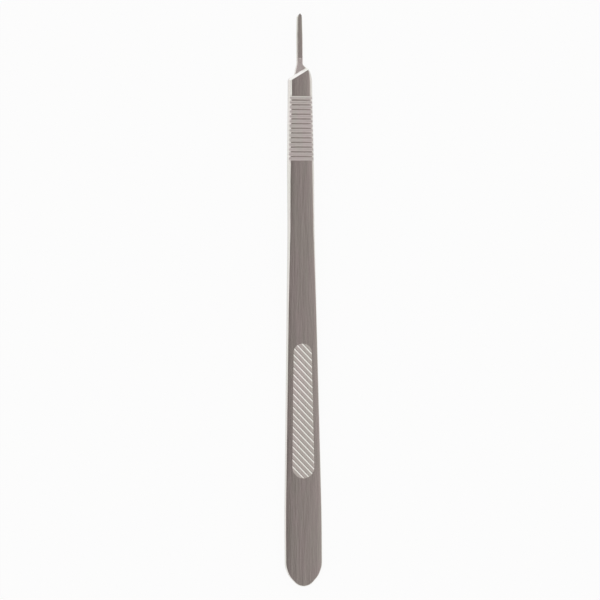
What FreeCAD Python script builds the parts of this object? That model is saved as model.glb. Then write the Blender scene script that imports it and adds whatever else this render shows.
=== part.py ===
import FreeCAD, Part
import math
import os
import Sketcher
from types import SimpleNamespace

# A long surgical knife handle in one piece of steel. It is drawn about its middle plane: X across,
# Y along it from the rounded tail at 0 to the tip of the blade fitting, Z through its thickness.
# The finished handle is then tipped by half its taper, so that it lies flat on its back face.

SIZES = [
    ("overall_length", 212.0),
    ("tail_width", 13.84),
    ("tail_angle", 42.0),
    ("tail_end_radius", 4.6),
    ("tail_bend_width", 10.84),
    ("tail_bend_radius", 5.0),
    ("tail_side_start", 7.24),
    ("tail_side_radius", 8.0),
    ("taper_start", 25.8),
    ("body_middle_drop", 32.0),
    ("body_middle_width", 10.87),
    ("taper_end_drop", 58.6),
    ("waist_end_drop", 36.6),
    ("waist_width", 9.72),
    ("side_blend_radius", 560.0),
    ("grip_bend_drop", 6.6),
    ("grip_bend_width", 8.84),
    ("grip_end_width", 8.72),
    ("right_corner_drop", 0.56),
    ("right_corner_radius", 8.0),
    ("left_corner_radius", 1.4),
    ("tail_thickness", 1.9),
    ("shoulder_thickness", 4.256),
    ("fitting_length", 21.4),
    ("shoulder_angle", 31.5),
    ("shoulder_ramp_angle", 32.0),
    ("neck_left_reach", 2.15),
    ("neck_left_length", 2.9),
    ("neck_right_length", 2.7),
    ("neck_right_radius", 0.6),
    ("plate_front_level", 0.5),
    ("plate_back_level", 0.4),
    ("plate_rounding", 0.35),
    ("tongue_width", 2.35),
    ("tongue_tip_width", 1.95),
    ("tip_taper_length", 8.5),
    ("tip_angle", 49.0),
    ("slot_height", 0.43),
    ("web_width", 0.9),
    ("web_gap", 3.3),
    ("head_width", 1.34),
    ("head_tip_width", 1.2),
    ("head_thickness", 0.42),
    ("head_gap", 4.55),
    ("boss_rear_angle", 45.0),
    ("grip_rounding", 1.15),
    ("waist_end_rounding", 0.82),
    ("waist_start_rounding", 0.58),
    ("body_rounding", 0.27),
    ("neck_rounding", 0.25),
    ("rib_count", 14),
    ("rib_pitch", 1.733),
    ("rib_width", 1.36),
    ("rib_depth", 0.42),
    ("first_rib_drop", 32.37),
    ("panel_middle", 65.0),
    ("panel_length", 49.8),
    ("panel_head_width", 6.7),
    ("panel_tail_width", 8.4),
    ("panel_round_share", 0.48),
    ("tooth_count", 23),
    ("tooth_pitch", 1.7045),
    ("tooth_land", 0.2),
    ("tooth_steep_run", 0.42),
    ("tooth_depth", 0.25),
    ("tooth_angle", 46.5),
    ("cutter_clearance", 0.05),
]


ACROSS = FreeCAD.Vector(1, 0, 0)
SKETCH_UP = FreeCAD.Vector(0, 1, 0)
SKETCH_NORMAL = FreeCAD.Vector(0, 0, 1)


class Size:
    """A length, an angle or a count that knows its value and the expression that gives it."""

    def __init__(self, value, text):
        self.value = value
        self.text = text

    def __add__(self, other):
        other = sized(other)
        return Size(self.value + other.value, f"({self.text} + {other.text})")

    def __sub__(self, other):
        other = sized(other)
        return Size(self.value - other.value, f"({self.text} - {other.text})")

    def __mul__(self, other):
        other = sized(other)
        return Size(self.value * other.value, f"({self.text} * {other.text})")

    def __truediv__(self, other):
        other = sized(other)
        return Size(self.value / other.value, f"({self.text} / {other.text})")

    def __neg__(self):
        return Size(-self.value, f"(-1 * {self.text})")


def sized(number):
    return number if isinstance(number, Size) else Size(number, str(number))


def sine(angle):
    return Size(math.sin(math.radians(angle.value)), f"sin({angle.text})")


def cosine(angle):
    return Size(math.cos(math.radians(angle.value)), f"cos({angle.text})")


def tangent(angle):
    return Size(math.tan(math.radians(angle.value)), f"tan({angle.text})")


def arc_tangent(slope):
    return Size(math.degrees(math.atan(slope.value)), f"atan({slope.text})")


def write_sizes(doc):
    """Puts the driving sizes into the sheet and returns them by name, with the stations they give."""
    sheet = doc.addObject("Spreadsheet::Sheet", "sizes")
    for row, (name, value) in enumerate(SIZES, start=1):
        sheet.set(f"A{row}", name)
        sheet.set(f"B{row}", str(value))
        sheet.setAlias(f"B{row}", name)
    doc.recompute()
    size = SimpleNamespace(**{name: Size(value, f"sizes.{name}") for name, value in SIZES})
    size.shoulder_station = size.overall_length - size.fitting_length
    size.waist_start = size.shoulder_station - size.taper_end_drop
    size.body_middle = size.waist_start - size.body_middle_drop
    size.waist_end = size.shoulder_station - size.waist_end_drop
    size.grip_bend = size.shoulder_station - size.grip_bend_drop
    size.right_corner = size.shoulder_station - size.right_corner_drop
    size.neck_left = size.shoulder_station + size.neck_left_length
    size.neck_right = size.shoulder_station + size.neck_right_length
    size.tip_taper = size.overall_length - size.tip_taper_length
    size.first_rib = size.shoulder_station - size.first_rib_drop
    return size


def bind(item, **sizes):
    """Ties properties of an object to sizes."""
    for name, size in sizes.items():
        item.setExpression(name, size.text)


def turned(axis, angle):
    """A placement turned about an axis through the origin."""
    return FreeCAD.Placement(FreeCAD.Vector(), FreeCAD.Rotation(axis, angle.value))


def new_sketch(body, role, name, lift=None):
    """A sketch on one of the body's own origin planes, or lifted off it."""
    sketch = body.newObject("Sketcher::SketchObject", name)
    sketch.AttachmentSupport = [(origin_part(body, role), "")]
    sketch.MapMode = "FlatFace"
    if lift is not None:
        sketch.setExpression("AttachmentOffset.Base.z", lift.text)
    return sketch


def pin(sketch, kind, first, second, size, label):
    """A dimension between two points, tied to a size."""
    index = sketch.addConstraint(Sketcher.Constraint(kind, *first, *second, size.value))
    sketch.renameConstraint(index, label)
    sketch.setExpression(f"Constraints.{label}", size.text)


def place_point(sketch, point, x, y, label):
    """Fixes a point of a sketch: a size gives a distance from the origin, a plain 0 means on the axis."""
    origin = (-1, 1)
    for kind, place, axis in (("DistanceX", x, -2), ("DistanceY", y, -1)):
        if isinstance(place, Size):
            pin(sketch, kind, origin, point, place, f"{label}_{kind[-1]}")
        else:
            sketch.addConstraint(Sketcher.Constraint("PointOnObject", *point, axis))


def draw_outline(sketch, name, corners):
    """Draws a closed outline, anticlockwise, from corners (x, y) or, if rounded, (x, y, radius)."""
    points = [FreeCAD.Vector(sized(c[0]).value, sized(c[1]).value, 0) for c in corners]
    count = len(corners)
    ends = []
    for i, corner in enumerate(corners):
        here = points[i]
        back = (points[i - 1] - here).normalize()
        ahead = (points[(i + 1) % count] - here).normalize()
        if len(corner) < 3:
            ends.append((here, here, None))
            continue
        half_turn = (math.pi - back.getAngle(ahead)) / 2
        reach = corner[2].value * math.tan(half_turn)
        middle = here + (back + ahead).normalize() * (corner[2].value / math.cos(half_turn))
        ends.append((here + back * reach, here + ahead * reach, middle))
    lines = []
    for i in range(count):
        start = ends[i][1]
        finish = ends[(i + 1) % count][0]
        lines.append(sketch.addGeometry(Part.LineSegment(start, finish)))
    for i, corner in enumerate(corners):
        incoming, outgoing = lines[i - 1], lines[i]
        label = f"{name}{i}"
        if len(corner) < 3:
            sketch.addConstraint(Sketcher.Constraint("Coincident", incoming, 2, outgoing, 1))
            place_point(sketch, (outgoing, 1), corner[0], corner[1], label)
            continue
        round_corner(sketch, incoming, outgoing, ends[i], points[i], corner, label)


def round_corner(sketch, incoming, outgoing, ends, point, corner, label):
    """Rounds one corner with an arc tangent to both of its sides, whose sharp corner stays in place."""
    arrive, leave, middle = ends
    turns_left = (point - arrive).cross(leave - point).z > 0
    first, last = (arrive, leave) if turns_left else (leave, arrive)
    circle = Part.Circle(middle, SKETCH_NORMAL, corner[2].value)
    arc = sketch.addGeometry(Part.ArcOfCircle(circle, circle.parameter(first), circle.parameter(last)))
    sharp = sketch.addGeometry(Part.Point(point), True)
    sketch.addConstraint(Sketcher.Constraint("Tangent", incoming, 2, arc, 1 if turns_left else 2))
    sketch.addConstraint(Sketcher.Constraint("Tangent", outgoing, 1, arc, 2 if turns_left else 1))
    sketch.addConstraint(Sketcher.Constraint("PointOnObject", sharp, 1, incoming))
    sketch.addConstraint(Sketcher.Constraint("PointOnObject", sharp, 1, outgoing))
    place_point(sketch, (sharp, 1), corner[0], corner[1], label)
    index = sketch.addConstraint(Sketcher.Constraint("Radius", arc, corner[2].value))
    sketch.renameConstraint(index, f"{label}_round")
    sketch.setExpression(f"Constraints.{label}_round", corner[2].text)


def add_pad(body, sketch, name, length, both_ways=False):
    """Adds the sketch's outline to the body, upwards or to both sides."""
    feature = body.newObject("PartDesign::Pad", name)
    feature.Profile = sketch
    feature.SideType = "Symmetric" if both_ways else "One side"
    bind(feature, Length=length)
    return feature


def add_pocket(body, sketch, name, length, both_ways=False):
    """Cuts the sketch's outline from the body, downwards or to both sides."""
    feature = body.newObject("PartDesign::Pocket", name)
    feature.Profile = sketch
    feature.SideType = "Symmetric" if both_ways else "One side"
    bind(feature, Length=length)
    return feature


def origin_part(body, role):
    """One of the body's own origin planes or axes."""
    return next(item for item in body.Origin.OriginFeatures if item.Role == role)


def mirror_feature(body, original, name):
    """Repeats a feature on the other side of the middle plane."""
    feature = body.newObject("PartDesign::Mirrored", name)
    feature.Originals = [original]
    feature.MirrorPlane = (origin_part(body, "XY_Plane"), [""])
    body.Tip = feature
    return feature


def half_growth(size):
    """How much half of the thickness grows with each millimetre towards the blade."""
    return (size.shoulder_thickness - size.tail_thickness) / size.shoulder_station / 2


def half_slope(size):
    """The angle between either face and the middle plane."""
    return arc_tangent(half_growth(size))


def half_thickness(size, station):
    """Half the thickness of the handle at a station along it."""
    return size.tail_thickness / 2 + half_growth(size) * station


def foot_of_shoulder(size, across):
    """The station at which the slanted shoulder meets the neck, for a place across the handle."""
    return size.shoulder_station + across * tangent(size.shoulder_angle)


def body_corners(size):
    """The outline of the body from the front; both sides run on past the shoulder."""
    half_tail = size.tail_width / 2
    half_tail_bend = size.tail_bend_width / 2
    half_middle = size.body_middle_width / 2
    half_waist = size.waist_width / 2
    half_bend = size.grip_bend_width / 2
    half_grip = size.grip_end_width / 2
    half_tongue = size.tongue_width / 2
    blend = size.side_blend_radius
    drop = size.tail_end_radius / sine(size.tail_angle) - size.tail_end_radius
    tail_bend = half_tail_bend / tangent(size.tail_angle) - drop
    far = size.shoulder_station + size.head_gap
    left_corner = foot_of_shoulder(size, -half_grip)
    narrowing = (half_bend - half_grip) / (left_corner - size.grip_bend)
    far_left = half_bend - narrowing * (far - size.grip_bend)
    return [
        (0, -drop, size.tail_end_radius),
        (half_tail_bend, tail_bend, size.tail_bend_radius),
        (half_tail, size.tail_side_start, size.tail_side_radius),
        (half_tail, size.taper_start, blend),
        (half_middle, size.body_middle),
        (half_waist, size.waist_start, blend),
        (half_waist, size.waist_end, blend),
        (half_bend, size.grip_bend),
        (half_grip, size.right_corner, size.right_corner_radius),
        (half_tongue, size.neck_right, size.neck_right_radius),
        (half_tongue, far),
        (-far_left, far),
        (-half_bend, size.grip_bend),
        (-half_waist, size.waist_end, blend),
        (-half_waist, size.waist_start, blend),
        (-half_middle, size.body_middle),
        (-half_tail, size.taper_start, blend),
        (-half_tail, size.tail_side_start, size.tail_side_radius),
        (-half_tail_bend, tail_bend, size.tail_bend_radius),
    ]


def add_taper(body, size):
    """Thins the blank evenly towards the tail, the same on both faces."""
    margin = size.tail_width / 2
    end = size.overall_length + margin
    sketch = new_sketch(body, "YZ_Plane", "taper_profile")
    draw_outline(sketch, "front", [
        (-margin, half_thickness(size, -margin)),
        (end, half_thickness(size, end)),
        (end, size.shoulder_thickness),
        (-margin, size.shoulder_thickness),
    ])
    front = add_pocket(body, sketch, "front_taper", size.tail_width * 2, both_ways=True)
    mirror_feature(body, front, "back_taper")


def make_blank(doc, size):
    """The body of the handle with sharp long edges and plain faces."""
    body = doc.addObject("PartDesign::Body", "blank")
    plan = new_sketch(body, "XY_Plane", "plan")
    draw_outline(plan, "plan", body_corners(size))
    add_pad(body, plan, "plate", size.shoulder_thickness * 1.5, both_ways=True)
    add_taper(body, size)
    return body


def rounding_at(size, point):
    """The radius of the long edges at a point: full at the grip, slight along the body and the neck."""
    station = point.y
    if point.x > 0 and station > size.shoulder_station.value:
        return size.neck_rounding.value
    steps = [
        (size.body_middle, size.body_rounding),
        (size.waist_start, size.waist_start_rounding),
        (size.waist_end, size.waist_end_rounding),
        (size.grip_bend, size.grip_rounding),
    ]
    if station <= size.body_middle.value:
        return size.body_rounding.value
    for (low, small), (high, large) in zip(steps, steps[1:]):
        if station <= high.value:
            share = (station - low.value) / (high.value - low.value)
            return small.value + (large.value - small.value) * share
    return size.grip_rounding.value


def along_outline(point):
    """Grows anticlockwise along the outline: up the right side, and down the left side before it."""
    return math.copysign(point.y, point.x)


def round_edges(doc, size, blank):
    """Rounds the long edges of both faces; the two radii of an edge follow the way its chain runs."""
    rounded = doc.addObject("Part::Fillet", "rounded")
    rounded.Base = blank
    edges = []
    chain_turns = {}
    for number, edge in enumerate(blank.Shape.Edges, start=1):
        first, last = (edge.valueAt(end) for end in edge.ParameterRange)
        upright = abs(first.z - last.z) > size.tail_thickness.value / 2
        across = min(first.y, last.y) > size.shoulder_station.value + size.neck_right_radius.value
        if upright or (across and first.x != last.x):
            continue
        front = first.z > 0
        turn = along_outline(first) < along_outline(last)
        if chain_turns.setdefault(front, turn) != turn:
            first, last = last, first
        edges.append((number, rounding_at(size, first), rounding_at(size, last)))
    rounded.Edges = edges
    return rounded


def add_shoulder(body, size):
    """Cuts both faces down to the neck beyond the slanted shoulder, which slopes out to each face."""
    sketch = new_sketch(body, "YZ_Plane", "shoulder_profile")
    sketch.AttachmentOffset = turned(SKETCH_UP, size.shoulder_angle)
    bind(sketch, **{"AttachmentOffset.Rotation.Angle": size.shoulder_angle})
    foot = size.shoulder_station * cosine(size.shoulder_angle)
    far = size.overall_length + size.tail_width
    top = size.shoulder_thickness
    front = size.plate_front_level
    back = size.plate_back_level
    slope = tangent(size.shoulder_ramp_angle)
    draw_outline(sketch, "front", [
        (foot, front),
        (far, front),
        (far, top),
        (foot - (top - front) * slope, top),
    ])
    draw_outline(sketch, "back", [
        (foot, -back),
        (foot - (top - back) * slope, -top),
        (far, -top),
        (far, -back),
    ])
    add_pocket(body, sketch, "shoulder", size.overall_length, both_ways=True)


def trim_left(body, size):
    """Cuts away what lies beyond the shoulder on the left of the neck, and rounds the left corner."""
    half_bend = size.grip_bend_width / 2
    half_grip = size.grip_end_width / 2
    half_tongue = size.tongue_width / 2
    reach = -size.neck_left_reach
    outside = -size.tail_width
    sketch = new_sketch(body, "XY_Plane", "left_trim")
    draw_outline(sketch, "trim", [
        (-half_bend, size.grip_bend),
        (-half_grip, foot_of_shoulder(size, -half_grip), size.left_corner_radius),
        (reach, foot_of_shoulder(size, reach)),
        (-half_tongue, size.neck_left),
        (-half_tongue, size.overall_length),
        (outside, size.overall_length),
        (outside, size.grip_bend),
    ])
    add_pocket(body, sketch, "left_side_of_neck", size.shoulder_thickness * 2, both_ways=True)


def fitting_tip(size, half, tip_half):
    """The far end of one layer of the blade fitting: it narrows a little and ends in a blunt point."""
    tip_side = size.overall_length - tip_half * tangent(size.tip_angle)
    return [
        (half, size.tip_taper),
        (tip_half, tip_side),
        (0, size.overall_length),
        (-tip_half, tip_side),
        (-half, size.tip_taper),
    ]


def add_tongue(body, size):
    """Adds the flat tongue that carries the blade."""
    half = size.tongue_width / 2
    sketch = new_sketch(body, "XY_Plane", "tongue_outline", lift=-size.plate_back_level)
    draw_outline(sketch, "tongue", [
        (-half, size.neck_left),
        (half, size.neck_left),
    ] + fitting_tip(size, half, size.tongue_tip_width / 2))
    return add_pad(body, sketch, "tongue", size.plate_front_level + size.plate_back_level)


def round_plate(body, size, tongue):
    """Rounds the front edges of the neck and the tongue, and leaves the foot of the shoulder sharp."""
    level = size.plate_front_level.value
    slope = tangent(size.shoulder_angle).value
    names = []
    for number, edge in enumerate(tongue.Shape.Edges, start=1):
        ends = [edge.valueAt(end) for end in edge.ParameterRange]
        foot_gaps = [end.y - size.shoulder_station.value - end.x * slope for end in ends]
        in_plane = all(abs(end.z - level) < size.cutter_clearance.value / 10 for end in ends)
        if in_plane and max(foot_gaps) > size.cutter_clearance.value:
            names.append(f"Edge{number}")
    rounding = body.newObject("PartDesign::Fillet", "plate_edges")
    rounding.Base = (tongue, names)
    bind(rounding, Radius=size.plate_rounding)
    body.Tip = rounding


def boss_outline(size, width, tip_width, gap):
    """The outline of one layer of the boss: pointed at its rear, with a blunt point at its far end."""
    half = width / 2
    point = size.shoulder_station + gap
    side = point + half / tangent(size.boss_rear_angle)
    return [(-half, side), (0, point), (half, side)] + fitting_tip(size, half, tip_width / 2)


def add_boss(body, size):
    """Adds the boss: a narrow web with slots beside it, and a wider head whose rear is sloped."""
    web_top = size.plate_front_level + size.slot_height
    head_top = web_top + size.head_thickness
    rear = size.shoulder_station + size.head_gap
    web_tip_width = size.web_width * size.head_tip_width / size.head_width
    web = new_sketch(body, "XY_Plane", "web_outline", lift=size.plate_front_level)
    draw_outline(web, "web", boss_outline(size, size.web_width, web_tip_width, size.web_gap))
    add_pad(body, web, "web", size.slot_height)
    head = new_sketch(body, "XY_Plane", "head_outline", lift=web_top)
    draw_outline(head, "head", boss_outline(size, size.head_width, size.head_tip_width, size.head_gap))
    add_pad(body, head, "head", size.head_thickness)
    slope = new_sketch(body, "YZ_Plane", "head_rear_profile")
    draw_outline(slope, "rear", [
        (rear, web_top),
        (rear + size.head_thickness, head_top),
        (rear, head_top),
    ])
    add_pocket(body, slope, "head_rear_slope", size.head_width * 2, both_ways=True)


def add_ribs(body, size):
    """Cuts the row of round-bottomed grooves across the grip, on both faces."""
    slope = half_slope(size)
    depth = size.rib_depth
    radius = (size.rib_width * size.rib_width / 4 + depth * depth) / depth / 2
    sketch = new_sketch(body, "YZ_Plane", "rib_section")
    sketch.AttachmentOffset = turned(SKETCH_NORMAL, slope)
    bind(sketch, **{
        "AttachmentOffset.Base.y": size.tail_thickness / 2,
        "AttachmentOffset.Rotation.Angle": slope,
    })
    middle = FreeCAD.Vector(size.first_rib.value, (radius - depth).value, 0)
    circle = sketch.addGeometry(Part.Circle(middle, SKETCH_NORMAL, radius.value))
    place_point(sketch, (circle, 3), size.first_rib, radius - depth, "rib")
    index = sketch.addConstraint(Sketcher.Constraint("Radius", circle, radius.value))
    sketch.renameConstraint(index, "rib_radius")
    sketch.setExpression("Constraints.rib_radius", radius.text)
    groove = add_pocket(body, sketch, "first_rib", size.tail_width * 2, both_ways=True)
    row = body.newObject("PartDesign::LinearPattern", "row_of_ribs")
    row.Direction = (sketch, ["H_Axis"])
    row.Mode = "Spacing"
    bind(row, Offset=size.rib_pitch, Occurrences=size.rib_count)
    both = body.newObject("PartDesign::MultiTransform", "ribs")
    other_face = body.newObject("PartDesign::Mirrored", "ribs_on_back")
    other_face.MirrorPlane = (origin_part(body, "XY_Plane"), [""])
    both.Originals = [groove]
    both.Transformations = [row, other_face]
    body.Tip = both


def finish_shaft(doc, size, rounded):
    """Cuts the rounded blank off at the shoulder and adds the blade fitting and the ribs."""
    body = doc.addObject("PartDesign::Body", "shaft")
    body.BaseFeature = rounded
    add_shoulder(body, size)
    trim_left(body, size)
    tongue = add_tongue(body, size)
    body.Document.recompute()
    round_plate(body, size, tongue)
    add_boss(body, size)
    add_ribs(body, size)
    return body


def make_teeth(doc, size):
    """A plate with a row of teeth under it, one for each diagonal groove of the grip panel."""
    body = doc.addObject("PartDesign::Body", "teeth")
    pitch = size.tooth_pitch
    low = size.cutter_clearance
    high = low * 2
    half_row = size.panel_length / 2
    length = size.panel_length * 2
    plate = new_sketch(body, "YZ_Plane", "plate_section")
    draw_outline(plate, "plate", [
        (-half_row, low),
        (half_row, low),
        (half_row, high),
        (-half_row, high),
    ])
    add_pad(body, plate, "tooth_plate", length, both_ways=True)
    first = pitch * (size.tooth_count - 1) / -2
    steep_foot = first - size.tooth_steep_run / 2
    land_edge = first + size.tooth_steep_run / 2
    shallow_top = land_edge - pitch + size.tooth_land
    tooth = new_sketch(body, "YZ_Plane", "tooth_section")
    draw_outline(tooth, "tooth", [
        (shallow_top, 0),
        (steep_foot, -size.tooth_depth),
        (land_edge, 0),
        (land_edge, high),
        (shallow_top, high),
    ])
    tooth_pad = add_pad(body, tooth, "first_tooth", length, both_ways=True)
    row = body.newObject("PartDesign::LinearPattern", "row_of_teeth")
    row.Originals = [tooth_pad]
    row.Direction = (origin_part(body, "Y_Axis"), [""])
    row.Mode = "Spacing"
    bind(row, Offset=pitch, Occurrences=size.tooth_count)
    body.Tip = row
    body.Placement = turned(SKETCH_NORMAL, -size.tooth_angle)
    bind(body, **{"Placement.Rotation.Angle": -size.tooth_angle})
    return body


def make_panel_shape(doc, size):
    """The long panel that bounds the diagonal grooves: rounded ends, wider towards the tail."""
    body = doc.addObject("PartDesign::Body", "panel")
    half_length = size.panel_length / 2
    half_head = size.panel_head_width / 2
    half_tail = size.panel_tail_width / 2
    head_round = size.panel_head_width * size.panel_round_share
    tail_round = size.panel_tail_width * size.panel_round_share
    sketch = new_sketch(body, "XY_Plane", "panel_outline")
    draw_outline(sketch, "panel", [
        (half_tail, -half_length, tail_round),
        (half_head, half_length, head_round),
        (-half_head, half_length, head_round),
        (-half_tail, -half_length, tail_round),
    ])
    add_pad(body, sketch, "panel_block", size.tooth_depth * 4, both_ways=True)
    return body


def cut_panels(doc, size, shaft):
    """Cuts the diagonal sawtooth grooves of the grip panel into both faces."""
    cutter = doc.addObject("Part::Common", "front_cutter")
    cutter.Base = make_teeth(doc, size)
    cutter.Tool = make_panel_shape(doc, size)
    cutter.Placement = turned(ACROSS, half_slope(size))
    bind(cutter, **{
        "Placement.Base.y": size.panel_middle,
        "Placement.Base.z": half_thickness(size, size.panel_middle),
        "Placement.Rotation.Angle": half_slope(size),
    })
    mirrored = doc.addObject("Part::Mirroring", "back_cutter")
    mirrored.Source = cutter
    mirrored.Normal = SKETCH_NORMAL
    front = doc.addObject("Part::Cut", "front_panel")
    front.Base = shaft
    front.Tool = cutter
    handle = doc.addObject("Part::Cut", "handle")
    handle.Base = front
    handle.Tool = mirrored
    return handle


def lay_down(handle, size):
    """Lays the handle flat on its back face, centred along its length."""
    slope = half_slope(size)
    handle.Placement = turned(ACROSS, slope)
    bind(handle, **{
        "Placement.Base.y": size.overall_length / -2,
        "Placement.Base.z": size.tail_thickness / 2 * cosine(slope),
        "Placement.Rotation.Angle": slope,
    })


def check(doc):
    """Stops if anything failed to build."""
    for item in doc.Objects:
        if "Invalid" in item.State or "Error" in item.State:
            raise RuntimeError(f"{item.Name} did not build")


def main():
    doc = FreeCAD.newDocument("scalpel_handle")
    size = write_sizes(doc)
    blank = make_blank(doc, size)
    doc.recompute()
    rounded = round_edges(doc, size, blank)
    doc.recompute()
    shaft = finish_shaft(doc, size, rounded)
    handle = cut_panels(doc, size, shaft)
    lay_down(handle, size)
    doc.recompute()
    check(doc)
    handle.Label = "handle"
    if handle.Shape.isNull() or not handle.Shape.isValid() or len(handle.Shape.Solids) != 1:
        raise RuntimeError("the handle is not one sound solid")
    os.makedirs("parts", exist_ok=True)
    handle.Shape.exportStep(f"parts/{handle.Label}.step")


main()
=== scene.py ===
import math

import bpy
from mathutils import Matrix, Vector

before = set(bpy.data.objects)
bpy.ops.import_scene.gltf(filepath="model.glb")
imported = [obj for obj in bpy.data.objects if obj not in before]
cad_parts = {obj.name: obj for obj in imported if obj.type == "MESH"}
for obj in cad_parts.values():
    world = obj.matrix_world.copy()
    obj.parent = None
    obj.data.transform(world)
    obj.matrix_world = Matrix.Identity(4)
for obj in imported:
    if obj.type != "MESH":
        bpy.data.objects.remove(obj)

# A surgical steel handle lies on a white ground, its blade fitting away from the viewer.
# Lengths are in metres where no comment says otherwise.

MM = 0.001
WHITE = (1.0, 1.0, 1.0, 1.0)

# The camera: a long lens above the handle, turned a little to its left, so that the left wall
# shows. The lens and its sensor are in millimetres. The camera sees from the nearest to the
# farthest of two shares of its distance.
PICTURE_WIDTH = 222.6 * MM
LENS = 135.0
SENSOR = 36.0
VIEW_TURN = math.radians(11.2)
VIEW_ROLL = math.radians(0.50)
VIEW_TARGET = Vector((-0.23 * MM, 0.08 * MM, 0.0))
NEAREST_SHARE = 0.1
FARTHEST_SHARE = 20.0

# The light: a white tent that is open overhead, where the camera looks in. Each pair is a lean in
# degrees from straight up towards +X, as far as the ground at either side, and the tent's
# brightness there. The opening is dim, faintly warm, and wider to the right; the tent is greyer
# again near the ground on three sides.
TENT_SIDE = 90.0
TENT = (
    (-90.0, 0.5),
    (-60.0, 1.0),
    (-30.0, 1.0),
    (-9.0, 0.30),
    (3.0, 0.08),
    (11.0, 0.25),
    (20.0, 0.36),
    (45.0, 0.56),
    (64.0, 1.0),
    (90.0, 0.5),
)
DIM_TINT = (1.20, 1.0, 0.99)

# The tent's two ends are white. They blend in as a direction leans along the handle, from the first
# of these shares to the second. The near end dims from its full light down to the ground.
END_START = 0.25
END_FULL = 0.75
LOW_LIGHT = 0.4
FULL_LIGHT_HEIGHT = 0.5

# The ground: a pale matt floor, part of which glows white to the camera and in the steel.
FLOOR_SIZE = 4.0
FLOOR_COLOUR = (0.90, 0.90, 0.90, 1.0)
FLOOR_GLOW = 0.92

# The finishes of the one steel, in the order of their numbers: a name, a colour, a roughness, and a
# lift, which turns the shading normal upwards.
FINISHES = (
    ("satin_steel", (0.84, 0.80, 0.765, 1.0), 0.19, 0.0),
    # The milled colour is darker as painted shade in the grooves and on the plate; its dullness is
    # real.
    ("milled_shaded_steel", (0.71, 0.645, 0.63, 1.0), 0.50, 0.0),
    # The ramp's paler colour is a painted highlight.
    ("ramp_highlight_steel", (0.97, 0.95, 0.93, 1.0), 0.30, 0.35),
)
SATIN, MILLED_SHADED, RAMP_HIGHLIGHT = range(len(FINISHES))
STEEL_EDGE_TINT = (0.84, 0.84, 0.84, 1.0)

# Polishing leaves the faces faintly crowned. Each pair is a place along the handle and half the
# flat face's width there, and these and the half length are in millimetres. The shading normal
# turns sideways with the share of that width at which a point lies: by the first turn in
# proportion, and by the second with a high power of the share, which shows near the edges only.
FACE_WIDTHS = ((-80.0, 6.65), (-8.0, 5.55), (15.0, 5.0), (47.0, 4.05), (69.0, 3.75), (78.0, 3.3))
HALF_LENGTH = 106.0
CROWN_TURN = math.radians(0.5)
EDGE_TURN = math.radians(3.6)
EDGE_POWER = 5.0

# The brushing: noise drawn out along the handle into streaks. They are small dents, and the
# roughness varies with them between two shares of the finish's own.
STREAK_NOISE = {"Scale": 800.0, "Detail": 6.0, "Roughness": 0.65}
STREAK_STRETCH = 0.08
STREAK_DEPTH = 0.05 * MM
SMOOTHEST_SHARE = 0.8
ROUGHEST_SHARE = 1.2

# The steel's colour drifts a little between patches, drawn out along the handle as well.
PATCH_NOISE = {"Scale": 250.0, "Detail": 3.0, "Roughness": 0.5}
PATCH_STRETCH = 0.25
PATCH_TINT = (0.965, 1.005, 0.975, 1.0)
PATCH_START = 0.4
PATCH_END = 0.6

# The front face, which rises evenly to the shoulder, and the places that tell the facets apart:
# the stretch of the ribs, the least depth of a groove, and the underside of the fitting's head.
SHOULDER_HEIGHT = 4.2615 * MM
SHOULDER_PLACE = 84.6 * MM
FACE_SLOPE = 0.01236
RIBS_START = 50.0 * MM
RIBS_END = 75.0 * MM
RECESS_DEPTH = 0.04 * MM
HEAD_BOTTOM = 3.2 * MM

# How far a facet's unit normal points across, along or up the handle, which tells them apart too.
WALL_ACROSS = 0.15
FLANK_ALONG = 0.3
PLATE_UP = 0.95
RAMP_ALONG = 0.5
RAMP_LEAST_UP = 0.3
RAMP_MOST_UP = 0.8


def new_tree(owner):
    """Empties an owner's node tree and returns it."""
    owner.use_nodes = True
    owner.node_tree.nodes.clear()
    return owner.node_tree


def feed(tree, socket, value):
    """Links another node's output to an input, or sets the input to a plain value."""
    if isinstance(value, bpy.types.NodeSocket):
        tree.links.new(value, socket)
    else:
        socket.default_value = value


def add_node(tree, kind, **values):
    """Adds a node. Each value sets the property of that name or, where there is none, the input."""
    node = tree.nodes.new(kind)
    for name, value in values.items():
        if hasattr(node, name):
            setattr(node, name, value)
        else:
            feed(tree, node.inputs[name.replace("_", " ")], value)
    return node


def calculate(tree, operation, *terms):
    """Adds a step of arithmetic, whose terms are outputs or plain numbers, and returns its result."""
    node = add_node(tree, "ShaderNodeMath", operation=operation)
    for socket, term in zip(node.inputs, terms):
        feed(tree, socket, term)
    return node.outputs[0]


def rescale(tree, value, start, end, low=0.0, high=1.0, curve="LINEAR"):
    """Carries a value over from the range start to end into the range low to high."""
    limits = {"From_Min": start, "From_Max": end, "To_Min": low, "To_Max": high}
    node = add_node(tree, "ShaderNodeMapRange", interpolation_type=curve, Value=value, **limits)
    return node.outputs["Result"]


def add_ramp(tree, place, stops):
    """Adds a colour ramp. Each stop is a share from 0 to 1 and the colour there, in rising order."""
    ramp = add_node(tree, "ShaderNodeValToRGB", Fac=place)
    spots = ramp.color_ramp.elements
    while len(spots) < len(stops):
        spots.new(1.0)
    for spot, (share, colour) in zip(spots, stops):
        spot.position = share
        spot.color = colour
    return ramp.outputs["Color"]


def mix_shaders(tree, share, first, second):
    """Mixes two shader nodes and returns the result."""
    mix = add_node(tree, "ShaderNodeMixShader", Fac=share)
    feed(tree, mix.inputs[1], first.outputs[0])
    feed(tree, mix.inputs[2], second.outputs[0])
    return mix.outputs[0]


def tent_colour(brightness):
    """The tent's colour at a brightness: white where it is bright, faintly warm where it is dim."""
    shares = [brightness * (tint * (1.0 - brightness) + brightness) for tint in DIM_TINT]
    return (*shares, 1.0)


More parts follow.
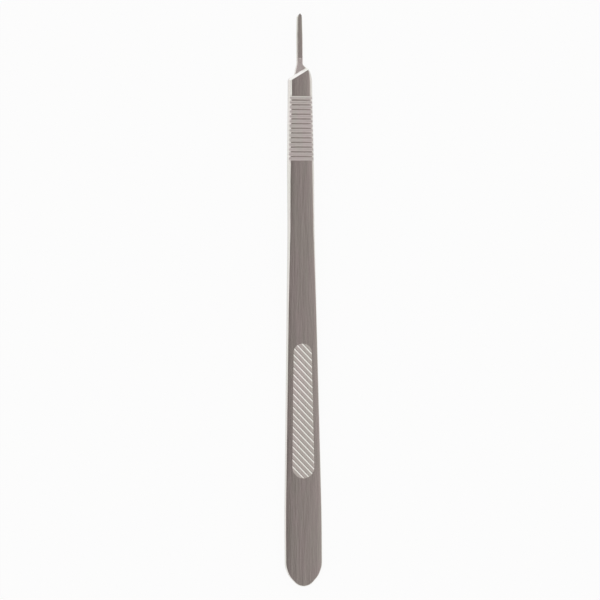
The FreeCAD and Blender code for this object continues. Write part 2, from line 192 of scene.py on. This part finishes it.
def light_world():
    """A white tent round the handle, with a dim opening overhead that runs along it."""
    world = bpy.data.worlds.new("light_tent")
    bpy.context.scene.world = world
    tree = new_tree(world)
    direction = add_node(tree, "ShaderNodeTexCoord").outputs["Generated"]
    across, along, up = add_node(tree, "ShaderNodeSeparateXYZ", Vector=direction).outputs

    lean = calculate(tree, "ARCTAN2", across, up)
    place = rescale(tree, lean, math.radians(-TENT_SIDE), math.radians(TENT_SIDE))
    tent = add_ramp(tree, place, [
        ((degrees / TENT_SIDE + 1.0) / 2.0, tent_colour(brightness)) for degrees, brightness in TENT
    ])
    middle = add_node(tree, "ShaderNodeBackground", Color=tent)

    near_light = rescale(tree, up, 0.0, FULL_LIGHT_HEIGHT, low=LOW_LIGHT)
    far_light = calculate(tree, "GREATER_THAN", along, 0.0)
    end_light = calculate(tree, "MAXIMUM", near_light, far_light)
    ends = add_node(tree, "ShaderNodeBackground", Color=WHITE, Strength=end_light)

    end_lean = calculate(tree, "ABSOLUTE", along)
    end_share = rescale(tree, end_lean, END_START, END_FULL, curve="SMOOTHSTEP")
    add_node(tree, "ShaderNodeOutputWorld", Surface=mix_shaders(tree, end_share, middle, ends))


def make_floor_material():
    """A white ground that glows to the camera and in the steel, and still takes the handle's shadow."""
    material = bpy.data.materials.new("white_ground")
    tree = new_tree(material)
    path = add_node(tree, "ShaderNodeLightPath").outputs
    camera_or_gloss = calculate(tree, "MAXIMUM", path["Is Camera Ray"], path["Is Glossy Ray"])
    seen = calculate(tree, "MAXIMUM", camera_or_gloss, path["Is Transmission Ray"])
    share = calculate(tree, "MULTIPLY", seen, FLOOR_GLOW)
    matt = add_node(tree, "ShaderNodeBsdfDiffuse", Color=FLOOR_COLOUR)
    glow = add_node(tree, "ShaderNodeEmission", Color=WHITE)
    add_node(tree, "ShaderNodeOutputMaterial", Surface=mix_shaders(tree, share, matt, glow))
    return material


def lay_floor():
    """A wide plain floor at the height that the handle lies on."""
    half = FLOOR_SIZE / 2
    corners = [(-half, -half, 0.0), (half, -half, 0.0), (half, half, 0.0), (-half, half, 0.0)]
    mesh = bpy.data.meshes.new("floor")
    mesh.from_pydata(corners, [], [(0, 1, 2, 3)])
    floor = bpy.data.objects.new("floor", mesh)
    bpy.context.scene.collection.objects.link(floor)
    mesh.materials.append(make_floor_material())


def crown_normal(tree, place, lift):
    """The surface normal, turned sideways as a crowned face's is, and upwards by the lift."""
    parts = add_node(tree, "ShaderNodeSeparateXYZ", Vector=place["Object"]).outputs
    station = rescale(tree, parts["Y"], -HALF_LENGTH * MM, HALF_LENGTH * MM)
    half_width = add_ramp(tree, station, [
        ((along / HALF_LENGTH + 1.0) / 2.0, (width * MM, width * MM, width * MM, 1.0))
        for along, width in FACE_WIDTHS
    ])
    share = calculate(tree, "DIVIDE", parts["X"], half_width)
    even_turn = calculate(tree, "MULTIPLY", share, CROWN_TURN)
    edge_share = calculate(tree, "POWER", share, EDGE_POWER)
    turn = calculate(tree, "MULTIPLY_ADD", edge_share, EDGE_TURN, even_turn)
    shift = add_node(tree, "ShaderNodeCombineXYZ", X=turn, Z=lift)
    turned = add_node(tree, "ShaderNodeVectorMath", operation="ADD")
    feed(tree, turned.inputs[0], place["Normal"])
    feed(tree, turned.inputs[1], shift.outputs[0])
    facing = add_node(tree, "ShaderNodeVectorMath", operation="NORMALIZE", Vector=turned.outputs[0])
    return facing.outputs[0]


def add_noise(tree, place, settings, stretch):
    """Adds a noise pattern that is drawn out along the handle, and returns it."""
    drawn_out = add_node(tree, "ShaderNodeMapping", Vector=place["Object"], Scale=(1.0, stretch, 1.0))
    noise = add_node(tree, "ShaderNodeTexNoise", Vector=drawn_out.outputs["Vector"], **settings)
    return noise.outputs["Fac"]


def make_steel(name, colour, roughness, lift):
    """Stainless steel in one of its finishes, brushed along the handle."""
    material = bpy.data.materials.new(name)
    tree = new_tree(material)
    place = add_node(tree, "ShaderNodeTexCoord").outputs
    patches = add_noise(tree, place, PATCH_NOISE, PATCH_STRETCH)
    drifted = [share * drift for share, drift in zip(colour, PATCH_TINT)]
    tint = add_ramp(tree, patches, [(PATCH_START, colour), (PATCH_END, drifted)])
    streaks = add_noise(tree, place, STREAK_NOISE, STREAK_STRETCH)
    smoothest = roughness * SMOOTHEST_SHARE
    roughest = roughness * ROUGHEST_SHARE
    uneven = rescale(tree, streaks, 0.0, 1.0, smoothest, roughest)
    facing = crown_normal(tree, place, lift)
    dents = add_node(tree, "ShaderNodeBump", Distance=STREAK_DEPTH, Height=streaks, Normal=facing)
    looks = {"Base_Color": tint, "Roughness": uneven, "Normal": dents.outputs["Normal"]}
    metal = {"Metallic": 1.0, "Specular_Tint": STEEL_EDGE_TINT}
    steel = add_node(tree, "ShaderNodeBsdfPrincipled", **metal, **looks)
    add_node(tree, "ShaderNodeOutputMaterial", Surface=steel.outputs["BSDF"])
    return material


def is_milled_and_shaded(centre, normal):
    """Whether a facet is in a cross groove or on the fitting's plate: milled dull, with painted shade.
    """
    front = SHOULDER_HEIGHT - FACE_SLOPE * (SHOULDER_PLACE - centre.y)
    depth = min(front - centre.z, centre.z)
    if RIBS_START < centre.y < RIBS_END:
        in_groove = depth > RECESS_DEPTH or abs(normal.y) > FLANK_ALONG
        return in_groove and abs(normal.x) < WALL_ACROSS
    return centre.y > SHOULDER_PLACE and centre.z < HEAD_BOTTOM and normal.z > PLATE_UP


def is_ramp(centre, normal):
    """Whether a facet lies on the shoulder's ramp, which gets a painted highlight in a paler colour."""
    slopes = RAMP_LEAST_UP < abs(normal.z) < RAMP_MOST_UP
    return centre.y > RIBS_END and normal.y > RAMP_ALONG and slopes


def pick_finish(centre, normal):
    """The number of the finish that a facet has."""
    if is_milled_and_shaded(centre, normal):
        return MILLED_SHADED
    return RAMP_HIGHLIGHT if is_ramp(centre, normal) else SATIN


def dress_handle():
    """Finishes the handle: satin faces, dull recesses with painted shade, a ramp with a painted
    highlight.
    """
    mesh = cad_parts["handle"].data
    mesh.materials.clear()
    for finish in FINISHES:
        mesh.materials.append(make_steel(*finish))
    for facet in mesh.polygons:
        facet.material_index = pick_finish(facet.center, facet.normal)


def place_camera():
    """Puts the camera at the photograph's viewing angle."""
    data = bpy.data.cameras.new("camera")
    data.sensor_width = SENSOR
    data.lens = LENS
    distance = PICTURE_WIDTH * LENS / SENSOR
    data.clip_start = distance * NEAREST_SHARE
    data.clip_end = distance * FARTHEST_SHARE
    camera = bpy.data.objects.new("camera", data)
    bpy.context.scene.collection.objects.link(camera)
    right = Vector((math.cos(VIEW_TURN), 0.0, math.sin(VIEW_TURN)))
    ahead = Vector((0.0, 1.0, 0.0))
    rolled_right = right * math.cos(VIEW_ROLL) - ahead * math.sin(VIEW_ROLL)
    rolled_up = ahead * math.cos(VIEW_ROLL) + right * math.sin(VIEW_ROLL)
    back = rolled_right.cross(rolled_up)
    turn = Matrix((rolled_right, rolled_up, back)).transposed().to_4x4()
    camera.matrix_world = Matrix.Translation(VIEW_TARGET + back * distance) @ turn
    bpy.context.scene.camera = camera


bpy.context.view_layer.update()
bpy.context.scene.view_settings.view_transform = "Standard"
light_world()
lay_floor()
dress_handle()
place_camera()
